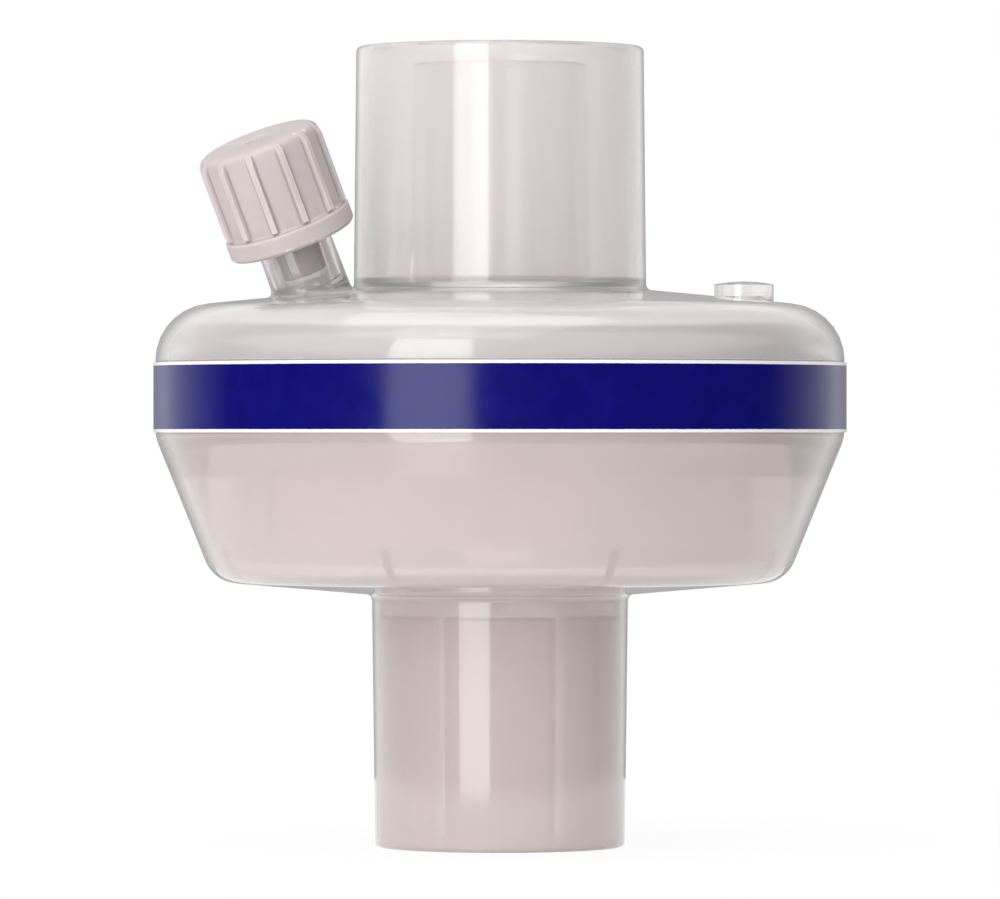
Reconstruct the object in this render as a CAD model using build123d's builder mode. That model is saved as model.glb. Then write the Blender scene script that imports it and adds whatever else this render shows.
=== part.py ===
"""Breathing circuit filter: two clear housings, felt pad, wound paper roll, sampling port and cap.

Millimetres. +Z runs up the filter's axis. The origin is the centre of the lower port's rim,
on which the filter stands. The front is towards -Y.
"""

from build123d import *
from math import cos, pi, radians, sin, tan
import os

os.makedirs("parts", exist_ok=True)

# Lengths along the axis, stacked upward from the rim of the lower port
lower_port_length = 22.1
bowl_depth = 14.3
rim_depth = 6.1
dome_rise = 6.3
upper_port_length = 21.3

# Filter body
belt_radius = 30.2
belt_height = 6.59
body_wall = 1.45
base_slope = 4.9
side_slope = 22.0
dome_slope = 5.5
base_corner_rounding = 3.0
belt_corner_rounding = 4.0
shoulder_land = 0.09
inner_corner_rounding = 2.0
inner_shoulder_rounding = 2.4
root_rounding = 0.6
edge_rounding = 0.3

# Seam between the housings, with the filter pad clamped under the spigot
rim_wall = 1.3
spigot_wall = 1.15
seam_clearance = 0.05
pad_seat_width = 1.5
pad_rim_thickness = 2.1
pad_thickness = 3.5
pad_clearance = 0.2
pad_rounding = 1.0
pad_edge_rounding = 0.2
pad_step_rounding = 0.5

# Conical connectors: every cone narrows by 1 in 40 on its diameter
cone_taper = 1 / 40
female_15_mouth_radius = 7.735
male_15_tip_radius = 7.6
female_22_mouth_radius = 11.21
mouth_chamfer = 0.3
rim_rounding = 0.45

# Lower port: a 22 mm cone outside, a 15 mm socket inside and a gap between the two walls
port_skin = 1.15
port_gap = 0.915
gap_roof = 1.8
gap_rib_count = 6
gap_rib_width = 0.9
gap_rib_recess = 1.3

# Stops in the lower socket
stop_count = 4
stop_height = 17.0
stop_tip_radius = 5.5
stop_top_radius = 5.0
stop_width = 1.2

# Upper port: a 22 mm socket around a tube with a 15 mm cone
upper_port_wall = 1.39
upper_port_draft = 0.22
socket_floor_rise = 0.6
socket_floor_rounding = 0.4
tube_15_recess = 1.6
tube_15_wall = 1.3

# Ribs on the lower floor that carry the paper roll
floor_rib_count = 8
floor_rib_width = 0.8
floor_rib_start = 9.2
floor_rib_rise = 1.94

# Wound paper roll
roll_clearance = 0.87
roll_core_radius = 1.7
flute_height = 2.0
flute_pitch = 3.4
flute_wall = 0.42
liner_thickness = 0.3
outline_steps = 24

# Sampling port on the dome
luer_inset = 2.51
luer_azimuth = 212.0
luer_lean = 23.3
barrel_height = 8.3
barrel_tip_radius = 3.15
barrel_root_radius = 3.3
barrel_fillet = 0.9
luer_mouth_radius = 2.145
luer_taper = 0.06
luer_bore_depth = 7.5
luer_passage_radius = 1.2
lug_span = 7.8
lug_width = 3.6
lug_height = 1.3

# Blanked boss on the other side of the dome
boss_inset = 8.8
boss_radius = 2.6
boss_rise = 1.3
boss_crown = 0.25
boss_crown_radius = 1.2
boss_core_radius = 1.3
boss_roof = 1.3

# Cap of the sampling port
cap_cover = 3.2
cap_height = 9.35
cap_bore_clearance = 0.15
cap_wall = 1.2
cap_rib_height = 0.35
cap_roof = 1.3
cap_collar_height = 1.75
cap_collar_chamfer = 0.25
cap_top_rounding = 1.25
cap_rib_count = 12
cap_rib_width = 0.55
cap_rib_phase = 18.0
plug_reach = 3.0
plug_clearance = 0.02
plug_tip_rounding = 0.3
cap_dimple_radius = 0.8
cap_dimple_depth = 0.3

# Printed band around the belt
label_top_margin = 0.1
label_bottom_margin = 0.39
label_thickness = 0.15
label_clearance = 0.02
label_seam_azimuth = 100.0
label_overlap_angle = 9.0

# Sizes that follow from the ones above
base_height = lower_port_length
pad_seat_height = base_height + bowl_depth
seam_height = pad_seat_height + rim_depth
dome_root_height = seam_height + dome_rise
overall_height = dome_root_height + upper_port_length
base_rise = tan(radians(base_slope))
side_rise = tan(radians(side_slope))
dome_fall = tan(radians(dome_slope))
radius_taper = cone_taper / 2
socket_skin_radius = female_15_mouth_radius + port_skin
gap_outer_radius = socket_skin_radius + port_gap
male_22_tip_radius = gap_outer_radius + port_skin
male_22_root_radius = male_22_tip_radius + base_height * radius_taper
gap_depth = base_height - gap_roof
belt_bottom_height = seam_height - belt_height
side_start_radius = (
    belt_radius - side_rise * (belt_bottom_height - base_height + male_22_root_radius * base_rise)
) / (1 - side_rise * base_rise)
side_start_height = base_height + (side_start_radius - male_22_root_radius) * base_rise
upper_port_tip_radius = female_22_mouth_radius + upper_port_wall
upper_port_root_radius = upper_port_tip_radius + upper_port_draft
shoulder_height = dome_root_height - (belt_radius - upper_port_root_radius) * dome_fall
shoulder_rounding = (shoulder_height - seam_height - shoulder_land) / tan(radians(90 - dome_slope) / 2)
floor_thickness = body_wall / cos(radians(base_slope))
side_wall_width = body_wall / cos(radians(side_slope))
dome_thickness = body_wall / cos(radians(dome_slope))
rim_inner_radius = belt_radius - rim_wall
spigot_radius = rim_inner_radius - seam_clearance
spigot_inner_radius = spigot_radius - spigot_wall
pad_seat_radius = rim_inner_radius - pad_seat_width
pad_top_height = pad_seat_height + pad_rim_thickness
socket_22_floor = dome_root_height + socket_floor_rise
tube_15_tip_height = overall_height - tube_15_recess
tube_15_bore_radius = male_15_tip_radius - tube_15_wall
plug_taper = luer_taper / 2
luer_radius_from_axis = (upper_port_root_radius + belt_radius) / 2 - luer_inset
cap_gap = barrel_height - cap_cover
cap_bore_radius = lug_span / 2 + cap_bore_clearance
cap_wall_radius = cap_bore_radius + cap_wall
cap_rib_radius = cap_wall_radius + cap_rib_height


def floor_height(radius):
    """Height of the lower chamber's floor at a radius."""
    return base_height + floor_thickness + (radius - male_22_root_radius) * base_rise


def ceiling_height(radius):
    """Height of the upper chamber's ceiling at a radius."""
    return dome_root_height - dome_thickness - (radius - upper_port_root_radius) * dome_fall


def dome_height(radius):
    """Height of the dome's outer face at a radius."""
    return ceiling_height(radius) + dome_thickness


def side_inner_radius(height):
    """Radius of the lower chamber's conical side at a height."""
    return side_start_radius + (height - side_start_height) * side_rise - side_wall_width


def side_inner_height(radius):
    """Height at which the lower chamber's conical side has a radius."""
    return side_start_height + (radius + side_wall_width - side_start_radius) / side_rise


# Where the lower chamber's floor meets its side, and where the roll stands and ends
inner_corner_height = (floor_height(0) + side_inner_radius(0) * base_rise) / (1 - side_rise * base_rise)
roll_seat_height = inner_corner_height + floor_rib_rise
roll_height = pad_seat_height - roll_seat_height
roll_radius = side_inner_radius(roll_seat_height) - roll_clearance


def half_section(corners):
    """Closed half section in the line being built: each corner is a radius, a height and its rounding."""
    return FilletPolyline(
        [(radius, height) for radius, height, rounding in corners],
        radius=[rounding for radius, height, rounding in corners],
        close=True,
    )


def azimuth_plane(azimuth):
    """Upright plane through the filter's axis, with its X pointing out along the azimuth."""
    return Plane(
        origin=(0, 0, 0),
        x_dir=(cos(radians(azimuth)), sin(radians(azimuth)), 0),
        z_dir=(sin(radians(azimuth)), -cos(radians(azimuth)), 0),
    )


def luer_plane(height=0.0):
    """Plane square to the sampling port's axis, at a height along it above the dome."""
    azimuth = radians(luer_azimuth)
    lean = radians(luer_lean)
    outward = Vector(cos(azimuth), sin(azimuth), 0)
    up_port = outward * sin(lean) + Vector(0, 0, cos(lean))
    foot = outward * luer_radius_from_axis + Vector(0, 0, dome_height(luer_radius_from_axis))
    return Plane(
        origin=foot + up_port * height,
        x_dir=(-sin(azimuth), cos(azimuth), 0),
        z_dir=up_port,
    )


# Lower housing: conical chamber with the double-walled lower port
with BuildPart() as lower_housing:
    with BuildSketch(Plane.YZ):
        with BuildLine():
            half_section([
                (0, 0, 0),
                (male_22_tip_radius, 0, rim_rounding),
                (male_22_root_radius, base_height, root_rounding),
                (side_start_radius, side_start_height, base_corner_rounding),
                (belt_radius, belt_bottom_height, belt_corner_rounding),
                (belt_radius, seam_height, 0),
                (0, seam_height, 0),
            ])
        make_face()
    revolve(axis=Axis.Z)

    # Chamber, with the step that seats the pad
    with BuildSketch(Plane.YZ):
        with BuildLine():
            half_section([
                (0, floor_height(0), 0),
                (side_inner_radius(inner_corner_height), inner_corner_height, inner_corner_rounding),
                (pad_seat_radius, side_inner_height(pad_seat_radius), 0),
                (pad_seat_radius, pad_seat_height, 0),
                (rim_inner_radius, pad_seat_height, 0),
                (rim_inner_radius, seam_height, 0),
                (0, seam_height, 0),
            ])
        make_face()
    revolve(axis=Axis.Z, mode=Mode.SUBTRACT)

    # Gap between the port's two walls, bridged by ribs
    with BuildSketch(Plane.YZ):
        with BuildLine():
            half_section([
                (socket_skin_radius, 0, 0),
                (gap_outer_radius, 0, 0),
                (gap_outer_radius + gap_depth * radius_taper, gap_depth, edge_rounding),
                (socket_skin_radius, gap_depth, edge_rounding),
            ])
        make_face()
    revolve(axis=Axis.Z, mode=Mode.SUBTRACT)
    with BuildSketch(Plane.XY.offset(gap_rib_recess)):
        with PolarLocations((socket_skin_radius + gap_outer_radius) / 2, gap_rib_count):
            Rectangle(port_gap + port_skin, gap_rib_width)
    extrude(until=Until.NEXT)

    # Socket for a 15 mm cone
    with BuildSketch(Plane.YZ):
        with BuildLine():
            half_section([
                (0, 0, 0),
                (female_15_mouth_radius + mouth_chamfer, 0, 0),
                (female_15_mouth_radius, mouth_chamfer, 0),
                (female_15_mouth_radius - stop_height * radius_taper, stop_height, 0),
                (female_15_mouth_radius - stop_height * radius_taper, floor_height(floor_rib_start), 0),
                (0, floor_height(floor_rib_start), 0),
            ])
        make_face()
    revolve(axis=Axis.Z, mode=Mode.SUBTRACT)

    # Stops that end the socket
    for index in range(stop_count):
        with BuildSketch(azimuth_plane(index * 360 / stop_count)):
            with BuildLine():
                Polyline(
                    (socket_skin_radius - port_skin / 2, stop_height),
                    (stop_tip_radius, stop_height),
                    (stop_top_radius, base_height - mouth_chamfer),
                    (socket_skin_radius - port_skin / 2, base_height),
                    close=True,
                )
            make_face()
        extrude(amount=stop_width / 2, both=True)

    # Ribs that carry the paper roll
    for index in range(floor_rib_count):
        with BuildSketch(azimuth_plane((index + 0.5) * 360 / floor_rib_count)):
            with BuildLine():
                Polyline(
                    (floor_rib_start, floor_height(floor_rib_start) - body_wall / 2),
                    (floor_rib_start, roll_seat_height),
                    (side_inner_radius(roll_seat_height) + body_wall / 2, roll_seat_height),
                    (side_inner_radius(inner_corner_height), inner_corner_height - body_wall / 4),
                    close=True,
                )
            make_face()
        extrude(amount=floor_rib_width / 2, both=True)
lower_housing.part.label = "lower_housing"
export_step(lower_housing.part, "parts/lower_housing.step")


# Upper housing: dome with the coaxial upper port, the sampling port and the blanked boss
with BuildPart() as upper_housing:
    with BuildSketch(Plane.YZ):
        with BuildLine():
            half_section([
                (0, pad_top_height, 0),
                (spigot_radius, pad_top_height, edge_rounding),
                (spigot_radius, seam_height, 0),
                (belt_radius, seam_height, 0),
                (belt_radius, shoulder_height, shoulder_rounding),
                (upper_port_root_radius, dome_root_height, root_rounding),
                (upper_port_tip_radius, overall_height, rim_rounding),
                (0, overall_height, 0),
            ])
        make_face()
    revolve(axis=Axis.Z)

    # Barrel of the sampling port, rounded into the dome
    with BuildSketch(luer_plane(-body_wall)):
        Circle(barrel_root_radius)
    with BuildSketch(luer_plane(barrel_height)):
        Circle(barrel_tip_radius)
    loft()
    foot_plane = luer_plane()
    foot_edges = upper_housing.edges().filter_by(
        lambda edge: (edge.center() - foot_plane.origin).length < barrel_root_radius
        and abs(foot_plane.to_local_coords(edge.center()).Z) < body_wall
    )
    foot_reach = barrel_root_radius / cos(radians(luer_lean))
    room_to_port = luer_radius_from_axis - foot_reach - upper_port_root_radius - root_rounding
    room_to_shoulder = belt_radius - shoulder_rounding - luer_radius_from_axis - foot_reach
    fillet(foot_edges, min(barrel_fillet, 0.9 * room_to_port, 0.9 * room_to_shoulder))

    # Blanked boss with a slightly crowned top
    boss_from_axis = belt_radius - boss_inset
    boss_foot_height = ceiling_height(boss_from_axis) + body_wall / 2
    boss_corner_height = dome_height(boss_from_axis) + boss_rise
    boss_top_height = boss_corner_height + boss_crown
    with BuildSketch(Plane.XY.offset(boss_foot_height)):
        with Locations((boss_from_axis, 0)):
            Circle(boss_radius)
    extrude(amount=boss_corner_height - boss_foot_height)
    with BuildSketch(Plane.XY.offset(boss_corner_height)):
        with Locations((boss_from_axis, 0)):
            Circle(boss_radius)
    with BuildSketch(Plane.XY.offset(boss_top_height)):
        with Locations((boss_from_axis, 0)):
            Circle(boss_crown_radius)
    loft()

    # Upper chamber
    with BuildSketch(Plane.YZ):
        with BuildLine():
            half_section([
                (0, pad_top_height, 0),
                (spigot_inner_radius, pad_top_height, 0),
                (spigot_inner_radius, ceiling_height(spigot_inner_radius), inner_shoulder_rounding),
                (0, ceiling_height(0), 0),
            ])
        make_face()
    revolve(axis=Axis.Z, mode=Mode.SUBTRACT)

    # Socket for a 22 mm cone around the tube with the 15 mm cone
    with BuildSketch(Plane.YZ):
        with BuildLine():
            half_section([
                (male_15_tip_radius + (tube_15_tip_height - socket_22_floor) * radius_taper,
                 socket_22_floor, socket_floor_rounding),
                (female_22_mouth_radius - (overall_height - socket_22_floor) * radius_taper,
                 socket_22_floor, socket_floor_rounding),
                (female_22_mouth_radius, overall_height - mouth_chamfer, 0),
                (female_22_mouth_radius + mouth_chamfer, overall_height, 0),
                (0, overall_height, 0),
                (0, tube_15_tip_height, 0),
                (male_15_tip_radius, tube_15_tip_height, rim_rounding),
            ])
        make_face()
    revolve(axis=Axis.Z, mode=Mode.SUBTRACT)
    with BuildSketch(Plane.XY.offset(tube_15_tip_height)):
        Circle(tube_15_bore_radius)
    extrude(amount=-(tube_15_tip_height - ceiling_height(spigot_inner_radius)), mode=Mode.SUBTRACT)

    # Locking lugs at the barrel's mouth
    with BuildSketch(luer_plane(barrel_height)):
        Circle(lug_span / 2)
        Rectangle(lug_span, lug_width, mode=Mode.INTERSECT)
    extrude(amount=-lug_height)

    # Tapered bore of the sampling port, then its passage through the dome
    with BuildSketch(luer_plane(barrel_height)):
        Circle(luer_mouth_radius)
    with BuildSketch(luer_plane(barrel_height - luer_bore_depth)):
        Circle(luer_mouth_radius - luer_bore_depth * plug_taper)
    loft(mode=Mode.SUBTRACT)
    with BuildSketch(luer_plane(barrel_height - luer_bore_depth)):
        Circle(luer_passage_radius)
    extrude(amount=-(barrel_height - luer_bore_depth + 2 * dome_thickness), mode=Mode.SUBTRACT)

    # Core of the blanked boss, open to the chamber
    with BuildSketch(Plane.XY.offset(boss_top_height - boss_roof)):
        with Locations((boss_from_axis, 0)):
            Circle(boss_core_radius)
    extrude(amount=-2 * dome_thickness, mode=Mode.SUBTRACT)
upper_housing.part.label = "upper_housing"
export_step(upper_housing.part, "parts/upper_housing.step")


# Filter pad: a felt disc, thinner where its rim is clamped
with BuildPart() as filter_pad:
    pad_radius = rim_inner_radius - pad_clearance
    pad_foot_radius = spigot_inner_radius - pad_rounding
    with BuildSketch(Plane.YZ):
        with BuildLine():
            half_section([
                (0, pad_seat_height, 0),
                (pad_radius, pad_seat_height, pad_edge_rounding),
                (pad_radius, pad_top_height, pad_edge_rounding),
                (pad_foot_radius, pad_top_height, pad_step_rounding),
                (pad_foot_radius - pad_thickness + pad_rim_thickness,
                 pad_seat_height + pad_thickness, pad_rounding),
                (0, pad_seat_height + pad_thickness, 0),
            ])
        make_face()
    revolve(axis=Axis.Z)
filter_pad.part.label = "filter_pad"
export_step(filter_pad.part, "parts/filter_pad.step")


# Paper roll: a flat liner and a fluted strip wound together, with open channels between them
turn_pitch = flute_height + liner_thickness
wound_angle = (roll_radius - liner_thickness - roll_core_radius) / turn_pitch * 2 * pi


def winding_radius(angle):
    """Radius of the middle of the fluted strip at an angle along the winding."""
    return roll_core_radius + turn_pitch * angle / (2 * pi) + flute_height / 2


def wound_point(angle, depth):
    """Point on the winding at an angle along it, at a depth outside the turn below."""
    radius = winding_radius(angle) - flute_height / 2 + depth
    return (radius * cos(angle), radius * sin(angle))


def flute_channel(angle, points_outward):
    """Corners of one open channel between the liner and the fluted strip."""
    half_turn = (flute_pitch - flute_wall) / 2 / winding_radius(angle)
    depth = flute_height * (1 - flute_wall / flute_pitch)
    if points_outward:
        base, tip = 0, depth
    else:
        base, tip = flute_height, flute_height - depth
    return [
        wound_point(angle - half_turn, base),
        wound_point(angle, tip),
        wound_point(angle + half_turn, base),
    ]


with BuildPart() as paper_roll:
    last_turn = wound_angle - 2 * pi
    with BuildSketch(Plane.XY.offset(roll_seat_height)):
        with BuildLine():
            edge = Spline([
                wound_point(last_turn + 2 * pi * step / outline_steps, liner_thickness)
                for step in range(outline_steps + 1)
            ])
            Line(edge @ 1, edge @ 0)
        make_face()
        channels = []
        angle = pi / 2
        while angle < last_turn:
            corners = flute_channel(angle, points_outward=len(channels) % 2 == 0)
            channels.append(Polygon(*corners, align=None, mode=Mode.PRIVATE))
            angle += flute_pitch / 2 / winding_radius(angle)
        add(channels, mode=Mode.SUBTRACT)
    extrude(amount=roll_height)
paper_roll.part.label = "paper_roll"
export_step(paper_roll.part, "parts/paper_roll.step")


# Cap: ribbed skirt over the barrel, with a tapered plug in the sampling port's bore
with BuildPart() as luer_cap:
    rim_plane = luer_plane(cap_gap)
    with BuildSketch(rim_plane):
        Circle(cap_wall_radius)
        with PolarLocations(cap_rib_radius / 2, cap_rib_count, start_angle=cap_rib_phase):
            Rectangle(cap_rib_radius, cap_rib_width)
    extrude(amount=cap_height)
    with BuildSketch(rim_plane):
        Circle(cap_rib_radius)
    extrude(amount=cap_collar_height)

    # Turned outside: chamfered collar, rounded top edge and the mark left at the middle of the top
    with BuildSketch(Plane(origin=rim_plane.origin, x_dir=rim_plane.x_dir, z_dir=-rim_plane.y_dir)):
        with BuildLine():
            half_section([
                (0, 0, 0),
                (cap_rib_radius - cap_collar_chamfer, 0, 0),
                (cap_rib_radius, cap_collar_chamfer, 0),
                (cap_rib_radius, cap_height, cap_top_rounding),
                (cap_dimple_radius, cap_height, 0),
                (cap_dimple_radius, cap_height - cap_dimple_depth, 0),
                (0, cap_height - cap_dimple_depth, 0),
            ])
        make_face()
    revolve(axis=Axis(rim_plane.origin, rim_plane.z_dir), mode=Mode.INTERSECT)

    # Room for the barrel
    with BuildSketch(rim_plane):
        Circle(cap_bore_radius)
    extrude(amount=cap_height - cap_roof, mode=Mode.SUBTRACT)

    # Plug that follows the port's taper
    plug_length = cap_height - cap_roof + plug_reach
    plug_tip_radius = luer_mouth_radius - (cap_cover + plug_reach) * plug_taper - plug_clearance
    with BuildSketch(luer_plane(cap_gap - plug_reach)):
        Circle(plug_tip_radius)
    with BuildSketch(luer_plane(cap_gap + cap_height - cap_roof)):
        Circle(plug_tip_radius + plug_length * plug_taper)
    loft()
    fillet(luer_cap.edges().sort_by(lambda edge: rim_plane.to_local_coords(edge.center()).Z)[0],
           plug_tip_rounding)
luer_cap.part.label = "luer_cap"
export_step(luer_cap.part, "parts/luer_cap.step")


# Printed band, lapped over itself at the back
with BuildPart() as label_band:
    label_bottom = belt_bottom_height + label_bottom_margin
    label_height = seam_height - label_top_margin - label_bottom
    label_inner_radius = belt_radius + label_clearance
    label_outer_radius = label_inner_radius + label_thickness
    with BuildSketch(Plane.XY.offset(label_bottom)):
        Circle(label_outer_radius)
        Circle(label_inner_radius, mode=Mode.SUBTRACT)
    extrude(amount=label_height)
    with BuildSketch(Plane.XY.offset(label_bottom)):
        Circle(label_outer_radius + label_thickness)
        Circle(label_outer_radius, mode=Mode.SUBTRACT)
        with Locations(Rotation(0, 0, label_seam_azimuth)):
            Rectangle(
                2 * belt_radius,
                2 * belt_radius * tan(radians(label_overlap_angle / 2)),
                align=(Align.MIN, Align.CENTER),
                mode=Mode.INTERSECT,
            )
    extrude(amount=label_height)
label_band.part.label = "label_band"
export_step(label_band.part, "parts/label_band.step")
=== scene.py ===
"""Looks of a breathing circuit filter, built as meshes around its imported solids. Metres, +Z up."""

import math

import bmesh
import bpy
from bpy.props import FloatProperty, FloatVectorProperty, IntProperty, PointerProperty
from mathutils import Matrix, Vector, noise


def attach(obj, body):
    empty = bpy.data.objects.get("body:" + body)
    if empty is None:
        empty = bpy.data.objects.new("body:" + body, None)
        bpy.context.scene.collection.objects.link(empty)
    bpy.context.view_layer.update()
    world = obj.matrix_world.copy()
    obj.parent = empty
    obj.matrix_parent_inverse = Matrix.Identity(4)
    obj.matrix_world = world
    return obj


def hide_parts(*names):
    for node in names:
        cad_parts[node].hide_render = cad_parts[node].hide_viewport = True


bl_info = {
    "name": "Breathing circuit filter",
    "version": (1, 0, 0),
    "blender": (4, 5, 0),
    "location": "View3D > Sidebar > Filter",
    "description": "Builds the surfaces and finishes of a clear breathing circuit filter",
    "category": "Mesh",
}

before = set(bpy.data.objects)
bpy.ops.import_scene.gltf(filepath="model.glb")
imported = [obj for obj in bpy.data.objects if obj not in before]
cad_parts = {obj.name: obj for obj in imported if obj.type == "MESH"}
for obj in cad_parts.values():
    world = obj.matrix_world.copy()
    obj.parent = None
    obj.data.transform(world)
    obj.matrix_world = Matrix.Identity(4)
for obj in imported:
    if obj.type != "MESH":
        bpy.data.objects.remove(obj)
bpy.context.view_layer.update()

MM = 0.001
AXIS_TOUCH = 1e-7
HOUSING_BODY = "housing"
CAP_BODY = "cap"

# How finely each round shape is divided around its axis.
BODY_SEGMENTS = 192
BARREL_SEGMENTS = 144
PAD_SEGMENTS = 144
BOSS_SEGMENTS = 96
BORE_SEGMENTS = 96
CORE_SEGMENTS = 72
LABEL_SEGMENTS = 240
FLOOR_SEGMENTS = 96

# Largest share of an outline's side that a rounding takes up.
ROUNDED_SHARE = 0.99

# Share of the light that clear plastic lets through, and how much of it haze takes.
CLEAR_SHARE = 0.97
UPPER_PORT_HAZE = 0.3
DOME_HAZE = 0.38
BARREL_HAZE = 0.16
LOWER_PORT_HAZE = 0.64
BOWL_HAZE = 0.5
WALL_DENSITY = 20

FLOOR_RADIUS = 0.1
FLOOR_CENTRE = (0, 0.025, 0)
FLOOR_GLOW = 1.02
FLOOR_GLOW_SHARE = 0.9
LAMP_AIM = (0, 0, 0.035)
KEY_PLACE, KEY_SIZE = (-0.255, -0.60, 0.05), (0.32, 0.9)
TOP_PLACE, TOP_SIZE = (-0.10, -0.20, 0.55), (0.6, 0.6)
SENSOR_WIDTH = 36


def length(name, description, millimetres):
    """A length property, given in millimetres and kept in metres."""
    default = millimetres * MM
    return FloatProperty(
        name=name, description=description, default=default, unit="LENGTH", subtype="DISTANCE"
    )


def angle(name, description, degrees):
    """An angle property, given in degrees."""
    default = math.radians(degrees)
    return FloatProperty(
        name=name, description=description, default=default, unit="ROTATION", subtype="ANGLE"
    )


def colour(name, description, red, green, blue):
    """A colour property, given as linear red, green and blue."""
    default = (red, green, blue)
    return FloatVectorProperty(
        name=name, description=description, default=default, min=0, max=1, subtype="COLOR"
    )


def power(name, description, watts):
    """A lamp's power, given in watts."""
    return FloatProperty(name=name, description=description, default=watts, unit="POWER")


def share(name, description, default):
    """A property without unit, from 0 to 1."""
    return FloatProperty(name=name, description=description, default=default, min=0, max=1)


def number(name, description, default):
    """A property that counts pieces around an axis."""
    return IntProperty(name=name, description=description, default=default, min=0, max=24)


class FilterBodySizes(bpy.types.PropertyGroup):
    """Sizes of the round body that the two housings form."""

    lower_port: length("Lower port length", "From the lower rim to the base plate", 22.1)
    bowl_depth: length("Bowl depth", "From the base plate's root to the pad's seat", 14.3)
    rim_depth: length("Rim depth", "From the pad's seat to the seam", 6.1)
    dome_rise: length("Dome rise", "From the seam to the root of the upper port", 6.3)
    upper_port: length("Upper port length", "From the dome to the upper rim", 21.3)
    belt_radius: length("Belt radius", "Radius of the belt between cone and shoulder", 30.2)
    belt_height: length("Belt height", "From the cone's upper end to the seam", 6.59)
    wall: length("Wall", "Thickness of the moulded walls", 1.45)
    base_slope: angle("Base slope", "How far the base plate rises outward", 4.9)
    side_slope: angle("Side slope", "How far the conical side leans out", 22.0)
    dome_slope: angle("Dome slope", "How far the dome falls outward", 5.5)
    base_rounding: length("Base rounding", "Radius of the lower corner", 3.0)
    belt_rounding: length("Belt rounding", "Radius between cone and belt", 4.0)
    shoulder_land: length("Shoulder land", "Upright part between seam and shoulder", 0.09)
    root_rounding: length("Root rounding", "Radius where a port meets the body", 0.6)
    rim_wall: length("Rim wall", "Thickness of the lower housing's upper rim", 1.3)
    spigot_wall: length("Spigot wall", "Thickness of the ring that clamps the pad", 1.15)
    pad_seat_width: length("Pad seat width", "Width of the step that carries the pad", 1.5)
    pad_rim: length("Pad rim", "Thickness of the clamped rim of the pad", 2.1)
    seam_clearance: length("Seam clearance", "Room between rim and spigot", 0.05)
    edge_rounding: length("Edge rounding", "Small radius on moulded edges", 0.15)


class ConePortSizes(bpy.types.PropertyGroup):
    """Sizes of the coaxial conical ports."""

    taper: share("Taper", "Loss of diameter over length", 1 / 40)
    female_15_mouth: length("Lower socket mouth radius", "Inner radius at the lower rim", 7.735)
    male_15_tip: length("Inner tube tip radius", "Outer radius at the inner tube's tip", 7.6)
    female_22_mouth: length("Upper socket mouth radius", "Inner radius at the upper rim", 11.21)
    port_skin: length("Port skin", "Thickness of each of the lower port's two walls", 1.15)
    port_gap: length("Port gap", "Room between the lower port's two walls", 0.915)
    gap_roof: length("Gap roof", "From the gap's end to the base plate", 1.8)
    gap_rib_recess: length("Gap rib recess", "Ends of the ribs above the lower rim", 1.3)
    gap_rib_width: length("Gap rib width", "Thickness of the ribs in the gap", 0.9)
    gap_ribs: number("Gap ribs", "Ribs in the lower port's gap", 6)
    stops: number("Stops", "Stops that end the lower socket", 4)
    stop_height: length("Stop height", "Where the lower socket ends", 17.0)
    stop_tip: length("Stop tip radius", "How near a stop's foot comes to the axis", 5.5)
    stop_top: length("Stop top radius", "How near a stop's top comes to the axis", 5.0)
    stop_width: length("Stop width", "Thickness of a stop", 1.2)
    upper_wall: length("Upper port wall", "Thickness of the upper port at its rim", 1.39)
    upper_draft: length("Upper port draft", "Gain of its radius from rim to dome", 0.22)
    socket_rise: length("Socket floor rise", "Floor of the upper socket above the dome", 0.6)
    tube_recess: length("Tube recess", "Inner tube's tip below the upper rim", 1.6)
    tube_wall: length("Tube wall", "Thickness of the inner tube at its tip", 1.3)
    mouth_chamfer: length("Mouth chamfer", "Lead-in at the mouths of the sockets", 0.3)
    rim_rounding: length("Rim rounding", "Radius on the ports' outer rims", 0.45)


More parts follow.
